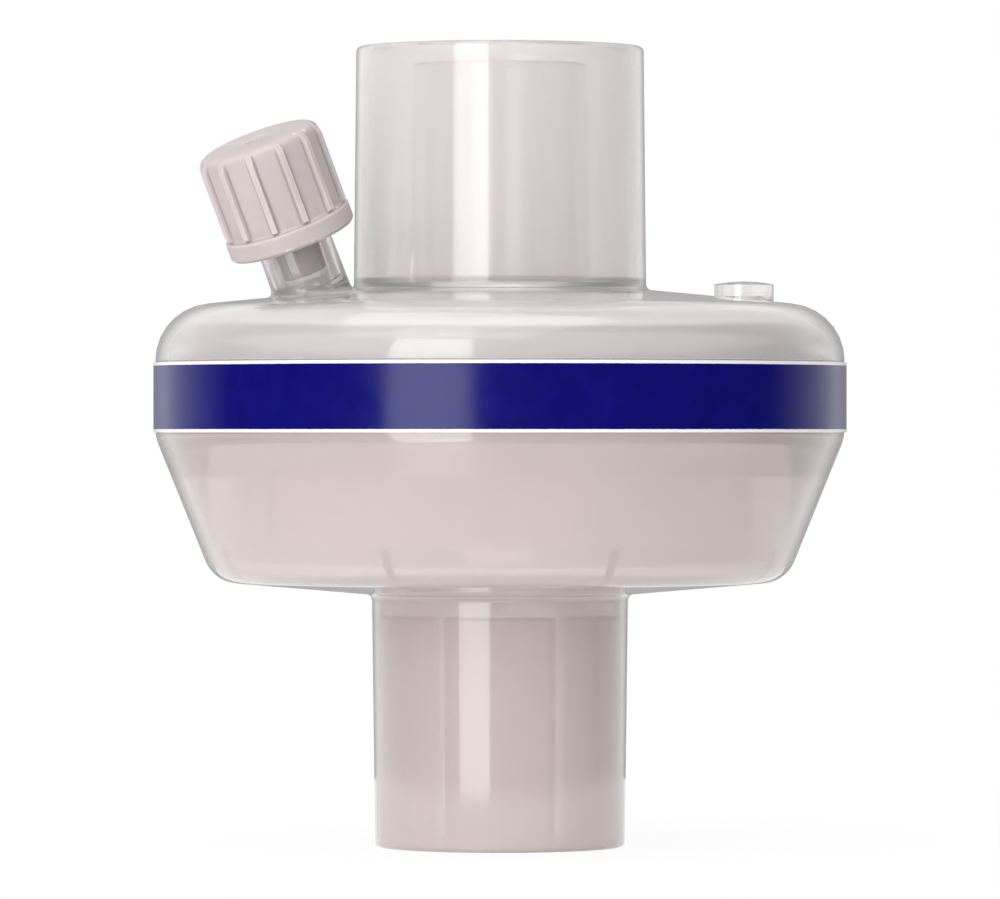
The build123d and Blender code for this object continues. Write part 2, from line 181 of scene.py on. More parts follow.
class SamplingPortSizes(bpy.types.PropertyGroup):
    """Sizes of the leaning sampling port, its cap and the blanked boss."""

    from_axis: length("Distance from axis", "Foot of the port from the filter's axis", 19.0)
    azimuth: angle("Azimuth", "Direction of the sampling port around the axis", 212.0)
    lean: angle("Lean", "How far the sampling port leans outward", 23.3)
    barrel_height: length("Barrel height", "Mouth of the barrel above the dome", 8.3)
    barrel_tip: length("Barrel tip radius", "Outer radius at the mouth", 3.15)
    barrel_root: length("Barrel root radius", "Outer radius at the dome", 3.3)
    barrel_fillet: length("Barrel fillet", "Rounding between barrel and dome", 0.9)
    mouth: length("Mouth radius", "Radius of the tapered bore at the mouth", 2.145)
    bore_depth: length("Bore depth", "Depth of the tapered bore", 7.5)
    bore_taper: share("Bore taper", "Loss of diameter over length", 0.06)
    passage: length("Passage radius", "Radius of the hole into the chamber", 1.2)
    lug_span: length("Lug span", "Distance across the two locking lugs", 7.8)
    lug_width: length("Lug width", "Width of a lug", 3.6)
    lug_height: length("Lug height", "Thickness of a lug along the barrel", 1.3)
    boss_inset: length("Boss inset", "Boss's middle inside the belt", 8.8)
    boss_radius: length("Boss radius", "Radius of the blanked boss", 2.6)
    boss_rise: length("Boss rise", "Boss's top corner above the dome", 1.3)
    boss_crown: length("Boss crown", "How far the boss's top bulges", 0.25)
    boss_core: length("Boss core radius", "Radius of the hollow under the boss", 1.3)
    boss_roof: length("Boss roof", "Thickness of the boss's top", 1.3)
    cap_cover: length("Cap cover", "How far the cap reaches over the barrel", 3.2)
    cap_height: length("Cap height", "Height of the cap", 9.35)
    cap_clearance: length("Cap clearance", "Room between the lugs and the skirt", 0.15)
    cap_wall: length("Cap wall", "Thickness of the skirt between its ribs", 1.2)
    cap_relief: length("Cap rib height", "Height of the ribs on the skirt", 0.35)
    cap_roof: length("Cap roof", "Thickness of the cap's top", 1.3)
    collar_height: length("Collar height", "Height of the plain collar", 1.75)
    collar_chamfer: length("Collar chamfer", "Chamfer on the collar's lower edge", 0.25)
    cap_rounding: length("Cap rounding", "Radius on the cap's top edge, over the ribs", 1.25)
    panel_flatness: share("Panel flatness", "How flat the panels between the ribs are", 0.7)
    ribs: number("Ribs", "Ribs around the cap", 12)
    rib_width: length("Rib width", "Width of a rib", 0.55)
    rib_phase: angle("Rib phase", "Direction of the first rib around the cap", 18.0)
    plug_reach: length("Plug reach", "Plug's tip beyond the cap's rim", 3.0)
    plug_clearance: length("Plug clearance", "Room between plug and bore", 0.02)
    thread_lead: length("Thread lead", "Travel of the cap's thread in one turn", 5.0)
    thread_depth: length("Thread depth", "Height of the thread inside the skirt", 0.45)
    dimple_radius: length("Dimple radius", "Radius of the moulding mark on top", 0.8)
    dimple_depth: length("Dimple depth", "Depth of the moulding mark on top", 0.3)


class InnerSizes(bpy.types.PropertyGroup):
    """Sizes of the pad, the wound roll and the printed band."""

    pad_clearance: length("Pad clearance", "Room around the pad", 0.2)
    pad_thickness: length("Pad thickness", "Thickness of the pad's middle", 3.5)
    pad_rounding: length("Pad rounding", "Softness of the pad's shoulder", 1.0)
    rib_rise: length("Rib rise", "Ribs above the corner of the chamber's floor", 1.94)
    floor_ribs: number("Floor ribs", "Ribs that carry the roll", 8)
    floor_rib_width: length("Floor rib width", "Thickness of a floor rib", 0.8)
    floor_rib_start: length("Floor rib start", "Inner end of the floor ribs", 9.2)
    roll_clearance: length("Roll clearance", "Room around the roll's lower edge", 0.87)
    roll_core: length("Roll core radius", "Radius where the winding starts", 1.7)
    flute_height: length("Flute height", "Room between two turns of liner", 2.0)
    flute_pitch: length("Flute pitch", "Length of one flute along the winding", 3.4)
    paper: length("Paper thickness", "Thickness of liner and fluted strip", 0.16)
    liner: length("Liner", "Room that the liner takes", 0.3)
    label_top_margin: length("Label top margin", "From the band's upper edge to the seam", 0.1)
    label_bottom_margin: length("Label bottom margin", "From the belt's foot to the band", 0.39)
    label_thickness: length("Label thickness", "Thickness of the printed band", 0.15)
    label_gap: length("Label gap", "Adhesive between belt and band", 0.02)
    label_seam: angle("Label seam", "Direction of the band's overlap", 100.0)
    label_lap: angle("Label lap", "Length of the overlap around the belt", 9.0)
    label_border: length("Label border", "Width of the white line along each edge", 0.28)


class FinishColours(bpy.types.PropertyGroup):
    """Colours of the finishes."""

    clear_plastic: colour("Clear plastic", "Tint of the upper housing", 0.90, 0.85, 0.845)
    frosted_plastic: colour("Frosted plastic", "Tint of the lower housing", 0.715, 0.625, 0.605)
    inner_faces: colour("Inner faces", "Tint of the housings' inner faces", 0.97, 0.955, 0.95)
    clear_depth: colour("Clear depth", "Light that a thick wall lets through", 0.80, 0.76, 0.74)
    felt: colour("Felt", "Filter pad", 0.86, 0.86, 0.85)
    paper: colour("Paper", "Wound roll", 0.84, 0.72, 0.55)
    cap: colour("Cap", "Sampling port's cap", 0.56, 0.495, 0.49)
    label_blue: colour("Label blue", "Printed band", 0.0012, 0.0016, 0.125)
    label_white: colour("Label white", "Lines along the band's edges", 0.85, 0.85, 0.86)
    floor: colour("Floor", "Floor under the filter", 0.9, 0.9, 0.9)


class StageSettings(bpy.types.PropertyGroup):
    """Camera, surround and lamps."""

    camera_distance: length("Camera distance", "Camera from the filter's axis", 660.0)
    camera_height: length("Camera height", "Camera above the floor", 36.5)
    view_centre: length("View centre", "Height at the middle of the picture", 34.8)
    view_width: length("View width", "Width of the picture at the axis", 87.7)
    surround_left: share("Surround left", "Light from the left", 0.88)
    surround_right: share("Surround right", "Light from the right", 0.7)
    gloss_front: share("Gloss front", "Share of the surround in front that gloss shows", 0.04)
    glass_front: share("Glass front", "Share of it that shows through glass", 0.8)
    key_power: power("Key power", "Front lamp", 2.4)
    top_power: power("Top power", "Overhead lamp", 1.2)


def outline(corners, steps=7):
    """Points of a closed outline from corners given as radius, height and rounding."""
    points = []
    count = len(corners)
    for index, (radius, height, rounding) in enumerate(corners):
        here = Vector((radius, height))
        back = Vector(corners[index - 1][:2]) - here
        ahead = Vector(corners[(index + 1) % count][:2]) - here
        half_turn = back.angle(ahead) / 2
        reach = rounding / math.tan(half_turn) if rounding > 0 else 0
        if reach <= 0:
            points.append(here)
            continue
        reach = min(reach, back.length * ROUNDED_SHARE, ahead.length * ROUNDED_SHARE)
        rounding = reach * math.tan(half_turn)
        centre = here + (back.normalized() + ahead.normalized()).normalized() * (
            rounding / math.sin(half_turn)
        )
        start = here + back.normalized() * reach - centre
        sweep = math.pi - 2 * half_turn
        side = 1 if start.cross(here - centre) > 0 else -1
        for step in range(steps + 1):
            turn = side * sweep * step / steps
            points.append(centre + Matrix.Rotation(turn, 2) @ start)
    return points


def even_turn(segments, offset=0):
    """Azimuths spread evenly over a full turn, moved on by a share of their spacing."""
    return [2 * math.pi * (segment + offset) / segments for segment in range(segments)]


def polar(radius, azimuth, height):
    """Point at a radius, azimuth and height."""
    return Vector((radius * math.cos(azimuth), radius * math.sin(azimuth), height))


def lathe(points, azimuths=None, matrix=Matrix.Identity(4), relief=None):
    """Closed mesh made by turning an outline of radius and height about +Z."""
    azimuths = azimuths or even_turn(BODY_SEGMENTS)
    segments = len(azimuths)
    mesh = bmesh.new()
    rings = []
    for radius, height in points:
        if radius < AXIS_TOUCH:
            rings.append([mesh.verts.new(matrix @ Vector((0, 0, height)))])
            continue
        ring = []
        for azimuth in azimuths:
            reach = relief(radius, height, azimuth) if relief else radius
            ring.append(mesh.verts.new(matrix @ polar(reach, azimuth, height)))
        rings.append(ring)
    for lower, upper in zip(rings, rings[1:] + rings[:1]):
        if len(lower) == 1 and len(upper) == 1:
            continue
        for segment in range(segments):
            following = (segment + 1) % segments
            corners = [lower[segment % len(lower)]]
            if len(lower) > 1:
                corners.append(lower[following])
            if len(upper) > 1:
                corners.append(upper[following])
            corners.append(upper[segment % len(upper)])
            mesh.faces.new(corners)
    bmesh.ops.recalc_face_normals(mesh, faces=mesh.faces)
    return mesh


def plate(points, thickness, matrix):
    """Closed mesh of a flat outline, thickened evenly to both sides of its plane."""
    mesh = bmesh.new()
    sides = []
    for offset in (-thickness / 2, thickness / 2):
        sides.append([mesh.verts.new(matrix @ Vector((x, offset, z))) for x, z in points])
    mesh.faces.new(sides[0])
    mesh.faces.new(list(reversed(sides[1])))
    count = len(points)
    for index in range(count):
        following = (index + 1) % count
        near, far = sides
        mesh.faces.new([near[following], near[index], far[index], far[following]])
    bmesh.ops.recalc_face_normals(mesh, faces=mesh.faces)
    return mesh


def sweep(mesh, sections):
    """Faces that join closed sections in a row and cap both ends."""
    count = len(sections[0])
    for here, there in zip(sections, sections[1:]):
        for corner in range(count):
            following = (corner + 1) % count
            mesh.faces.new([here[corner], here[following], there[following], there[corner]])
    mesh.faces.new(sections[0])
    mesh.faces.new(list(reversed(sections[-1])))
    bmesh.ops.recalc_face_normals(mesh, faces=mesh.faces)


def object_from(mesh, name):
    """Scene object from a bmesh, which is freed."""
    data = bpy.data.meshes.new(name)
    mesh.to_mesh(data)
    mesh.free()
    piece = bpy.data.objects.new(name, data)
    bpy.context.scene.collection.objects.link(piece)
    return piece


def combine(piece, tool, operation):
    """Join a tool object to a piece, or cut it out, and remove the tool."""
    modifier = piece.modifiers.new(operation.lower(), "BOOLEAN")
    modifier.operation = operation
    modifier.solver = "EXACT"
    modifier.object = tool
    graph = bpy.context.evaluated_depsgraph_get()
    result = bpy.data.meshes.new_from_object(piece.evaluated_get(graph))
    piece.modifiers.clear()
    old = piece.data
    piece.data = result
    bpy.data.meshes.remove(old)
    bpy.data.objects.remove(tool)
    if not result.polygons:
        raise RuntimeError(f"{piece.name}: nothing is left after {operation}")


def add_plates(piece, name, points, thickness, turns):
    """Join copies of a flat plate to a piece, each turned about the filter's axis."""
    for turn in turns:
        tool = plate(points, thickness, Matrix.Rotation(turn, 4, "Z"))
        combine(piece, object_from(tool, name), "UNION")


def smooth(piece, limit=35):
    """Smooth shading with crisp edges above the limit, in degrees, and flat faces kept flat."""
    data = piece.data
    data.shade_smooth()
    data.set_sharp_from_angle(angle=math.radians(limit))
    modifier = piece.modifiers.new("Weighted normals", "WEIGHTED_NORMAL")
    modifier.keep_sharp = True
    modifier.weight = 60


def settle(piece, node, body, material):
    """Let a finished piece stand for its solid, ride its body and wear its finish."""
    piece.data.materials.clear()
    piece.data.materials.append(material)
    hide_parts(node)
    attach(piece, body)


def scaled(tint, factor):
    """Colour with its channels multiplied, up to white."""
    return tuple(min(1, channel * factor) for channel in tint)


class Nodes:
    """A node tree and the few calls that finishes and surround share."""

    def __init__(self, tree):
        self.tree = tree
        tree.nodes.clear()

    def node(self, kind, **settings):
        """New node with its settings."""
        made = self.tree.nodes.new(kind)
        for key, value in settings.items():
            setattr(made, key, value)
        return made

    def put(self, socket, value):
        """Give an input the output of another node, or a plain number, vector or colour."""
        if hasattr(value, "is_output"):
            self.tree.links.new(value, socket)
        elif socket.type == "RGBA":
            socket.default_value = (*value, 1)
        else:
            socket.default_value = value

    def range(self, value, low, high, to_low, to_high):
        """Value mapped from one range to another, held at the ends."""
        made = self.node("ShaderNodeMapRange")
        keys = ("Value", "From Min", "From Max", "To Min", "To Max")
        for key, given in zip(keys, (value, low, high, to_low, to_high)):
            self.put(made.inputs[key], given)
        return made.outputs["Result"]

    def math(self, operation, first, second=0.0):
        """Result of a sum on two values."""
        made = self.node("ShaderNodeMath", operation=operation)
        self.put(made.inputs[0], first)
        self.put(made.inputs[1], second)
        return made.outputs["Value"]

    def vector(self, operation, first, second=(0, 0, 0)):
        """Result of a sum on two vectors."""
        made = self.node("ShaderNodeVectorMath", operation=operation)
        self.put(made.inputs[0], first)
        self.put(made.inputs[1], second)
        return made.outputs["Value" if operation in ("LENGTH", "DOT_PRODUCT") else "Vector"]

    def split(self, vector, axis):
        """One coordinate of a vector."""
        made = self.node("ShaderNodeSeparateXYZ")
        self.put(made.inputs["Vector"], vector)
        return made.outputs[axis]

    def blend(self, factor, first, second):
        """Shader between two shaders."""
        made = self.node("ShaderNodeMixShader")
        for socket, value in zip(made.inputs, (factor, first, second)):
            self.put(socket, value)
        return made.outputs["Shader"]


class Material(Nodes):
    """A procedural material in the coordinates of its piece."""

    def __init__(self, name):
        self.material = bpy.data.materials.new(name)
        self.material.use_nodes = True
        super().__init__(self.material.node_tree)
        self.output = self.node("ShaderNodeOutputMaterial")
        self.position = self.node("ShaderNodeTexCoord").outputs["Object"]

    def noise(self, scale, detail=3, roughness=0.5, stretch=None):
        """Noise over the piece, stretched along its axes where asked."""
        source = self.position
        if stretch:
            mapping = self.node("ShaderNodeMapping")
            self.put(mapping.inputs["Scale"], stretch)
            self.put(mapping.inputs["Vector"], source)
            source = mapping.outputs["Vector"]
        texture = self.node("ShaderNodeTexNoise")
        keys = ("Vector", "Scale", "Detail", "Roughness")
        for key, given in zip(keys, (source, scale, detail, roughness)):
            self.put(texture.inputs[key], given)
        return texture.outputs["Fac"]

    def mix(self, factor, first, second):
        """Colour between two colours."""
        made = self.node("ShaderNodeMix", data_type="RGBA")
        self.put(made.inputs["Factor"], factor)
        self.put(made.inputs["A"], first)
        self.put(made.inputs["B"], second)
        return made.outputs["Result"]

    def bump(self, height, strength, distance):
        """Normal bent by a height."""
        made = self.node("ShaderNodeBump")
        for key, given in zip(("Height", "Strength", "Distance"), (height, strength, distance)):
            self.put(made.inputs[key], given)
        return made.outputs["Normal"]

    def shader(self, **settings):
        """Principled shader on the surface output; settings are socket names with underscores."""
        made = self.node("ShaderNodeBsdfPrincipled")
        for key, value in settings.items():
            self.put(made.inputs[key.replace("_", " ")], value)
        self.put(self.output.inputs["Surface"], made.outputs["BSDF"])
        return made


def from_axis(made):
    """Horizontal vector from the filter's axis, and its length."""
    level = made.vector("MULTIPLY", made.position, (1, 1, 0))
    return level, made.vector("LENGTH", level)


def outer_faces(made, tilt, inner_radius):
    """Mask that is 1 on faces turned outward, up or down by tilt, and beyond a radius."""
    level, radius = from_axis(made)
    tilted = made.vector("ADD", made.vector("NORMALIZE", level), (0, 0, tilt))
    normal = made.node("ShaderNodeNewGeometry").outputs["True Normal"]
    facing = made.range(made.vector("DOT_PRODUCT", tilted, normal), -0.05, 0.05, 0, 1)
    beyond = made.range(radius, inner_radius - 0.1 * MM, inner_radius + 0.1 * MM, 0, 1)
    return made.math("MULTIPLY", facing, beyond)


def moulded_plastic(made, colours, tint, outer, haze, inner_roughness):
    """Milky clear plastic: glossy and hazy on its outer faces, clearer inside."""
    waves = made.noise(70, detail=2, stretch=(1, 1, 0.3))
    cloudy = made.range(made.noise(110, detail=2), 0.3, 0.7, 0, 1)
    skin = made.mix(cloudy, scaled(tint, 0.975), tuple(tint))
    made.shader(
        Base_Color=made.mix(outer, tuple(colours.inner_faces), skin),
        Transmission_Weight=made.math("SUBTRACT", CLEAR_SHARE, made.math("MULTIPLY", outer, haze)),
        Roughness=made.math(
            "ADD",
            made.range(outer, 0, 1, inner_roughness, 0.08),
            made.range(made.noise(420), 0.3, 0.75, 0, 0.03),
        ),
        IOR=1.55,
        Coat_Weight=0.45,
        Coat_Roughness=0.05,
        Normal=made.bump(waves, 0.1, 0.0002),
    )
    depth = made.node("ShaderNodeVolumeAbsorption")
    made.put(depth.inputs["Color"], tuple(colours.clear_depth))
    made.put(depth.inputs["Density"], WALL_DENSITY)
    made.put(made.output.inputs["Volume"], depth.outputs["Volume"])
    return made.material


def clear_plastic(colours, shape):
    """Plastic of the upper housing, clearest on the sampling port and the boss."""
    made = Material("clear_plastic")
    radius = from_axis(made)[1]
    root = shape.upper_root
    on_dome = made.range(radius, root + 0.2 * MM, root + 1.5 * MM, 0, 1)
    fall = shape.dome_fall
    level = made.math("ADD", made.split(made.position, "Z"), made.math("MULTIPLY", radius, fall))
    dome = shape.dome_root + root * fall
    above = made.range(level, dome + 0.2 * MM, dome + 0.8 * MM, DOME_HAZE, BARREL_HAZE)
    change = made.math("MULTIPLY", on_dome, made.math("SUBTRACT", above, UPPER_PORT_HAZE))
    haze = made.math("ADD", UPPER_PORT_HAZE, change)
    outer = outer_faces(made, 0.5, (root + shape.socket_skin) / 2)
    return moulded_plastic(made, colours, colours.clear_plastic, outer, haze, 0.04)


def frosted_plastic(colours, shape):
    """Plastic of the lower housing, milkier on the port, with satin inner faces."""
    made = Material("frosted_plastic")
    outer = outer_faces(made, -0.5, shape.gap_outer - 0.3 * MM)
    height = made.split(made.position, "Z")
    low, high = shape.base - 1.5 * MM, shape.base + 10 * MM
    haze = made.range(height, low, high, LOWER_PORT_HAZE, BOWL_HAZE)
    return moulded_plastic(made, colours, colours.frosted_plastic, outer, haze, 0.28)


def felt(colours):
    """White felted fibre."""
    made = Material("felt")
    fibres = made.noise(1400, detail=6, roughness=0.75, stretch=(1, 1, 3))
    clouds = made.noise(160, detail=3)
    shade = scaled(colours.felt, 0.86)
    made.shader(
        Base_Color=made.mix(made.range(clouds, 0.3, 0.7, 0, 1), shade, tuple(colours.felt)),
        Roughness=0.95,
        Sheen_Weight=0.3,
        Normal=made.bump(fibres, 0.7, 0.0003),
    )
    return made.material


def roll_paper(colours):
    """Cream paper with a fibrous grain along the roll."""
    made = Material("roll_paper")
    grain = made.noise(900, detail=5, roughness=0.65, stretch=(1, 1, 0.2))
    shade = scaled(colours.paper, 0.85)
    made.shader(
        Base_Color=made.mix(made.range(grain, 0.3, 0.7, 0, 1), shade, tuple(colours.paper)),
        Roughness=0.9,
        Normal=made.bump(grain, 0.4, 0.0001),
    )
    return made.material


def cap_plastic(colours):
    """Satin off-white plastic, with painted shade in its hollows and a painted highlight on its
    crests.
    """
    made = Material("cap_plastic")
    grain = made.noise(2600, detail=3)
    clouds = made.noise(220, detail=2)
    cloudy = made.range(clouds, 0.3, 0.7, 0, 1)
    plain = made.mix(cloudy, scaled(colours.cap, 0.94), tuple(colours.cap))
    bend = made.node("ShaderNodeNewGeometry").outputs["Pointiness"]
    # Painted shade: hollows, picked out by pointiness, are darkened towards half the cap's colour.
    painted_hollow_shade = made.mix(made.range(bend, 0.42, 0.49, 1, 0), plain, scaled(colours.cap, 0.5))
    # Painted highlight: crests, picked out by pointiness, are lightened above the cap's colour.
    painted_crest_highlight = made.range(bend, 0.51, 0.58, 0, 1)
    made.shader(
        Base_Color=made.mix(painted_crest_highlight, painted_hollow_shade, scaled(colours.cap, 1.28)),
        Roughness=made.range(grain, 0.3, 0.7, 0.38, 0.5),
        Subsurface_Weight=0.15,
        Subsurface_Radius=(0.8, 0.5, 0.4),
        Subsurface_Scale=MM,
        Normal=made.bump(grain, 0.12, 0.00003),
    )
    return made.material


def label_film(colours, inner, shape):
    """Glossy printed blue film with a white line along each edge."""
    made = Material("label_film")
    middle = (shape.label_top + shape.label_bottom) / 2
    half = (shape.label_top - shape.label_bottom) / 2
    height = made.split(made.position, "Z")
    from_middle = made.math("ABSOLUTE", made.math("SUBTRACT", height, middle))
    waver = made.math("SUBTRACT", made.noise(2500, detail=2), 0.5)
    ragged = made.math("ADD", from_middle, made.math("MULTIPLY", waver, 0.05 * MM))
    border = made.math("GREATER_THAN", ragged, half - inner.label_border)
    cloudy = made.range(made.noise(700, detail=4), 0.35, 0.75, 0, 1)
    ink = made.mix(cloudy, tuple(colours.label_blue), scaled(colours.label_blue, 1.25))
    made.shader(
        Base_Color=made.mix(border, ink, tuple(colours.label_white)),
        Roughness=made.range(made.noise(350), 0.3, 0.7, 0.16, 0.21),
        Normal=made.bump(made.noise(240, detail=2), 0.1, 0.00006),
    )
    return made.material


def stage_floor(colours):
    """Pale floor that shows white to the camera and keeps the filter's shadow."""
    made = Material("floor")
    grain = made.noise(60, detail=2)
    colour_mix = made.mix(grain, scaled(colours.floor, 0.98), tuple(colours.floor))
    surface = made.shader(Base_Color=colour_mix, Roughness=0.9).outputs["BSDF"]
    white = made.node("ShaderNodeEmission")
    made.put(white.inputs["Strength"], FLOOR_GLOW)
    rays = made.node("ShaderNodeLightPath").outputs
    through = made.math("MAXIMUM", rays["Is Glossy Ray"], rays["Is Transmission Ray"])
    seen = made.math("MAXIMUM", rays["Is Camera Ray"], through)
    glow = made.math("MULTIPLY", seen, FLOOR_GLOW_SHARE)
    shown = made.blend(glow, surface, white.outputs["Emission"])
    made.put(made.output.inputs["Surface"], shown)
    return made.material


def sampling_matrix(scene, height=0.0):
    """Places things along the sampling port's axis, at a height above the dome."""
    port = scene.filter_sampling
    dome = BodyShape(scene).dome_height(port.from_axis)
    outward = Vector((math.cos(port.azimuth), math.sin(port.azimuth), 0))
    up_port = outward * math.sin(port.lean) + Vector((0, 0, math.cos(port.lean)))
    foot = outward * port.from_axis + Vector((0, 0, dome)) + up_port * height
    across = Vector((-math.sin(port.azimuth), math.cos(port.azimuth), 0))
    turned = Matrix((across, up_port.cross(across), up_port)).transposed()
    return Matrix.Translation(foot) @ turned.to_4x4()


class BodyShape:
    """Heights and radii that follow from the sizes of body, ports and roll."""

    def __init__(self, scene):
        body = scene.filter_body
        ports = scene.filter_ports
        inner = scene.filter_inner
        self.body_radius = body.belt_radius
        self.base = body.lower_port
        self.pad_seat = self.base + body.bowl_depth
        self.seam = self.pad_seat + body.rim_depth
        self.dome_root = self.seam + body.dome_rise
        self.top = self.dome_root + body.upper_port
        self.base_rise = math.tan(body.base_slope)
        self.side_rise = math.tan(body.side_slope)
        self.dome_fall = math.tan(body.dome_slope)
        self.taper = ports.taper / 2
        self.socket_skin = ports.female_15_mouth + ports.port_skin
        self.gap_outer = self.socket_skin + ports.port_gap
        self.lower_tip = self.gap_outer + ports.port_skin
        self.lower_root = self.lower_tip + self.base * self.taper
        self.upper_tip = ports.female_22_mouth + ports.upper_wall
        self.upper_root = self.upper_tip + ports.upper_draft
        self.belt_bottom = self.seam - body.belt_height
        drop = self.belt_bottom - self.base + self.lower_root * self.base_rise
        self.side_start_radius = (body.belt_radius - self.side_rise * drop) / (
            1 - self.side_rise * self.base_rise
        )
        self.side_start = self.base + (self.side_start_radius - self.lower_root) * self.base_rise
        self.shoulder = self.dome_root - (body.belt_radius - self.upper_root) * self.dome_fall
        self.shoulder_rounding = (self.shoulder - self.seam - body.shoulder_land) / math.tan(
            (math.pi / 2 - body.dome_slope) / 2
        )
        self.floor_thickness = body.wall / math.cos(body.base_slope)
        self.side_width = body.wall / math.cos(body.side_slope)
        self.dome_thickness = body.wall / math.cos(body.dome_slope)
        self.rim_inner = body.belt_radius - body.rim_wall
        self.spigot = self.rim_inner - body.seam_clearance
        self.spigot_inner = self.spigot - body.spigot_wall
        self.seat_radius = self.rim_inner - body.pad_seat_width
        self.pad_top = self.pad_seat + body.pad_rim
        self.corner = (self.floor_height(0) + self.side_inner(0) * self.base_rise) / (
            1 - self.side_rise * self.base_rise
        )
        self.roll_seat = self.corner + inner.rib_rise
        self.roll_radius = self.side_inner(self.roll_seat) - inner.roll_clearance
        self.label_bottom = self.belt_bottom + inner.label_bottom_margin
        self.label_top = self.seam - inner.label_top_margin

    def floor_height(self, radius):
        """Height of the lower chamber's floor at a radius."""
        return self.base + self.floor_thickness + (radius - self.lower_root) * self.base_rise

    def ceiling_height(self, radius):
        """Height of the upper chamber's ceiling at a radius."""
        return self.dome_root - self.dome_thickness - (radius - self.upper_root) * self.dome_fall

    def dome_height(self, radius):
        """Height of the dome's outer face at a radius."""
        return self.ceiling_height(radius) + self.dome_thickness

    def side_inner(self, height):
        """Radius of the lower chamber's conical side at a height."""
        outside = self.side_start_radius + (height - self.side_start) * self.side_rise
        return outside - self.side_width

    def side_inner_height(self, radius):
        """Height at which the lower chamber's conical side has a radius."""
        beyond = radius + self.side_width - self.side_start_radius
        return self.side_start + beyond / self.side_rise


class FILTER_OT_lower_housing(bpy.types.Operator):
    """Build the lower housing with its double-walled port."""

    bl_idname = "filter.lower_housing"
    bl_label = "Lower housing"

    def execute(self, context):
        scene = context.scene
        body = scene.filter_body
        ports = scene.filter_ports
        shape = BodyShape(scene)
        edge = body.edge_rounding
        gap_top = shape.base - ports.gap_roof
        socket_end = ports.female_15_mouth - ports.stop_height * shape.taper
        profile = [
            (ports.female_15_mouth, ports.mouth_chamfer, edge),
            (socket_end, ports.stop_height, 0),
            (socket_end, shape.floor_height(socket_end), edge * 2),
            (shape.side_inner(shape.corner), shape.corner, 2 * MM),
            (shape.seat_radius, shape.side_inner_height(shape.seat_radius), edge * 2),
            (shape.seat_radius, shape.pad_seat, edge),
            (shape.rim_inner, shape.pad_seat, edge),
            (shape.rim_inner, shape.seam, edge),
            (body.belt_radius, shape.seam, edge / 2),
            (body.belt_radius, shape.belt_bottom, body.belt_rounding),
            (shape.side_start_radius, shape.side_start, body.base_rounding),
            (shape.lower_root, shape.base, body.root_rounding),
            (shape.lower_tip, 0, ports.rim_rounding),
            (shape.gap_outer, 0, edge),
            (shape.gap_outer + gap_top * shape.taper, gap_top, edge * 2),
            (shape.socket_skin, gap_top, edge * 2),
            (shape.socket_skin, 0, edge),
            (ports.female_15_mouth + ports.mouth_chamfer, 0, edge / 2),
        ]
        piece = object_from(lathe(outline(profile)), "lower_housing_shell")
        self.add_gap_ribs(piece, ports, shape, gap_top)
        self.add_stops(piece, ports, shape)
        self.add_floor_ribs(piece, scene.filter_inner, shape)
        smooth(piece)
        finish = frosted_plastic(scene.filter_colours, shape)
        settle(piece, "lower_housing", HOUSING_BODY, finish)
        return {"FINISHED"}

    def add_gap_ribs(self, piece, ports, shape, gap_top):
        """Small ribs that join the port's two walls."""
        bite = ports.port_skin / 2
        points = [
            (shape.socket_skin - bite, ports.gap_rib_recess),
            (shape.gap_outer + bite, ports.gap_rib_recess),
            (shape.gap_outer + bite, gap_top + bite),
            (shape.socket_skin - bite, gap_top + bite),
        ]
        add_plates(piece, "gap_rib", points, ports.gap_rib_width, even_turn(ports.gap_ribs))

    def add_stops(self, piece, ports, shape):
        """Stops that end the lower socket."""
        root = shape.socket_skin - ports.port_skin / 2
        corners = [
            (root, ports.stop_height, 0),
            (ports.stop_tip, ports.stop_height, 0.25 * MM),
            (ports.stop_top, shape.base - ports.mouth_chamfer, 0.25 * MM),
            (root, shape.base, 0),
        ]
        points = outline(corners, steps=4)
        add_plates(piece, "stop", points, ports.stop_width, even_turn(ports.stops))

    def add_floor_ribs(self, piece, inner, shape):
        """Ribs on the floor that carry the paper roll."""
        start = inner.floor_rib_start
        wall = shape.floor_thickness
        corners = [
            (start, shape.floor_height(start) - wall / 2, 0),
            (start, shape.roll_seat, 0.6 * MM),
            (shape.side_inner(shape.roll_seat) + wall / 2, shape.roll_seat, 0),
            (shape.side_inner(shape.corner), shape.corner - wall / 4, 0),
        ]
        turns = even_turn(inner.floor_ribs, offset=0.5)
        add_plates(piece, "floor_rib", outline(corners, steps=5), inner.floor_rib_width, turns)


